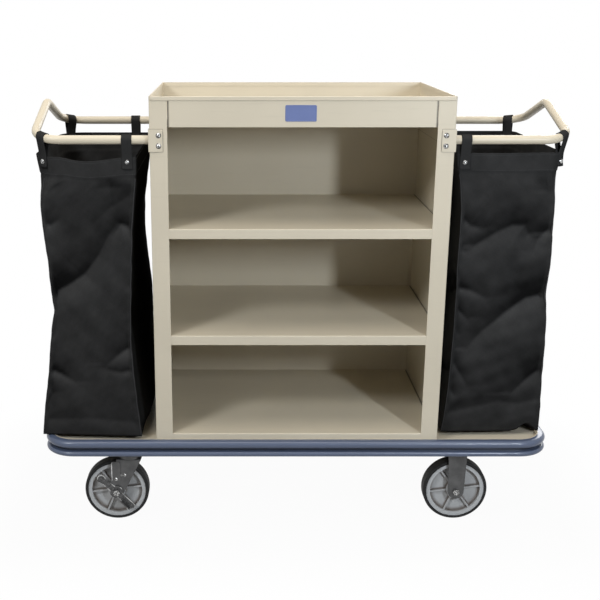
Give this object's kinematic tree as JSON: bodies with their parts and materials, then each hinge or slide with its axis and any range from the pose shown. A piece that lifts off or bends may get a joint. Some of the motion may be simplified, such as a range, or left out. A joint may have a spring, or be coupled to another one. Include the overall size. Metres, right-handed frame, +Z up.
{
  "type": "janitor cart",
  "caption": "Housekeeping cart: open steel cabinet with tray top and shelves on a bumpered deck, tubular end handles with hanging fabric bags, swivel and rigid casters.",
  "frame": {"origin": "on the floor, under the middle of the cart", "axes": "+X along the cart towards the rigid casters, +Y from the open front to the back, +Z up"},
  "size_m": [1.574, 0.627, 1.337],
  "materials": {
    "beige_powder_coat": "satin powder coat with a fine orange peel",
    "slate_vinyl": "satin extruded vinyl",
    "black_fabric": "coated woven nylon, satin",
    "black_webbing": "woven webbing",
    "caster_steel": "satin grey",
    "grey_nylon": "moulded, satin",
    "black_tyre": "matt rubber",
    "bright_zinc": "bright zinc"
  },
  "bodies": {
    "cart": {"deck_pan": "beige_powder_coat", "caster_channel_left": "beige_powder_coat", "caster_channel_right": "beige_powder_coat", "side_panel_left": "beige_powder_coat", "side_panel_right": "beige_powder_coat", "back_panel": "beige_powder_coat", "header_apron": "beige_powder_coat", "left_handle": "beige_powder_coat", "right_handle": "beige_powder_coat", "front_left_bracket": "beige_powder_coat", "rear_left_bracket": "beige_powder_coat", "front_right_bracket": "beige_powder_coat", "rear_right_bracket": "beige_powder_coat", "tray_floor": "beige_powder_coat", "upper_shelf": "beige_powder_coat", "middle_shelf": "beige_powder_coat", "lower_shelf": "beige_powder_coat", "bumper": "slate_vinyl", "foot_bolts": "bright_zinc", "bracket_bolts": "bright_zinc", "bracket_nuts": "bright_zinc", "left_bag": "black_fabric", "right_bag": "black_fabric", "left_bag_straps": "black_webbing", "right_bag_straps": "black_webbing", "left_bag_snaps": "bright_zinc", "right_bag_snaps": "bright_zinc", "caster_bolts": "bright_zinc", "caster_nuts": "bright_zinc", "front_swivel_plate": "caster_steel", "rear_swivel_plate": "caster_steel", "kingpins": "bright_zinc", "front_rigid_fork": "caster_steel", "rear_rigid_fork": "caster_steel", "rigid_axles": "bright_zinc", "rigid_axle_nuts": "bright_zinc", "rigid_spacers": "bright_zinc"},
    "front_swivel": {"front_swivel_fork": "caster_steel", "front_swivel_balls": "bright_zinc", "front_swivel_axle": "bright_zinc", "front_swivel_axle_nut": "bright_zinc", "front_swivel_spacer": "bright_zinc", "front_brake_bracket": "caster_steel"},
    "front_swivel_wheel": {"front_swivel_core": "grey_nylon", "front_swivel_tyre": "black_tyre"},
    "front_lever": {"front_brake_lever": "caster_steel"},
    "front_rigid_wheel": {"front_rigid_core": "grey_nylon", "front_rigid_tyre": "black_tyre"},
    "rear_swivel": {"rear_swivel_fork": "caster_steel", "rear_swivel_balls": "bright_zinc", "rear_swivel_axle": "bright_zinc", "rear_swivel_axle_nut": "bright_zinc", "rear_swivel_spacer": "bright_zinc", "rear_brake_bracket": "caster_steel"},
    "rear_swivel_wheel": {"rear_swivel_core": "grey_nylon", "rear_swivel_tyre": "black_tyre"},
    "rear_lever": {"rear_brake_lever": "caster_steel"},
    "rear_rigid_wheel": {"rear_rigid_core": "grey_nylon", "rear_rigid_tyre": "black_tyre"}
  },
  "joints": [
    {"name": "front_swivel_turn", "type": "hinge", "parent": "cart", "child": "front_swivel", "pos_m": [-0.525, -0.2325, 0.225], "axis": [0, 0, 1], "continuous": true},
    {"name": "front_swivel_roll", "type": "hinge", "parent": "front_swivel", "child": "front_swivel_wheel", "pos_m": [-0.567, -0.2325, 0.1015], "axis": [0, 1, 0], "continuous": true},
    {"name": "front_brake_press", "type": "hinge", "parent": "front_swivel", "child": "front_lever", "pos_m": [-0.567, -0.2325, 0.1015], "axis": [0, -1, 0], "range_deg": [0, 28]},
    {"name": "front_rigid_roll", "type": "hinge", "parent": "cart", "child": "front_rigid_wheel", "pos_m": [0.51, -0.2325, 0.1015], "axis": [0, 1, 0], "continuous": true},
    {"name": "rear_swivel_turn", "type": "hinge", "parent": "cart", "child": "rear_swivel", "pos_m": [-0.525, 0.2325, 0.225], "axis": [0, 0, 1], "continuous": true},
    {"name": "rear_swivel_roll", "type": "hinge", "parent": "rear_swivel", "child": "rear_swivel_wheel", "pos_m": [-0.567, 0.2325, 0.1015], "axis": [0, 1, 0], "continuous": true},
    {"name": "rear_brake_press", "type": "hinge", "parent": "rear_swivel", "child": "rear_lever", "pos_m": [-0.567, 0.2325, 0.1015], "axis": [0, -1, 0], "range_deg": [0, 28]},
    {"name": "rear_rigid_roll", "type": "hinge", "parent": "cart", "child": "rear_rigid_wheel", "pos_m": [0.51, 0.2325, 0.1015], "axis": [0, 1, 0], "continuous": true}
  ]
}
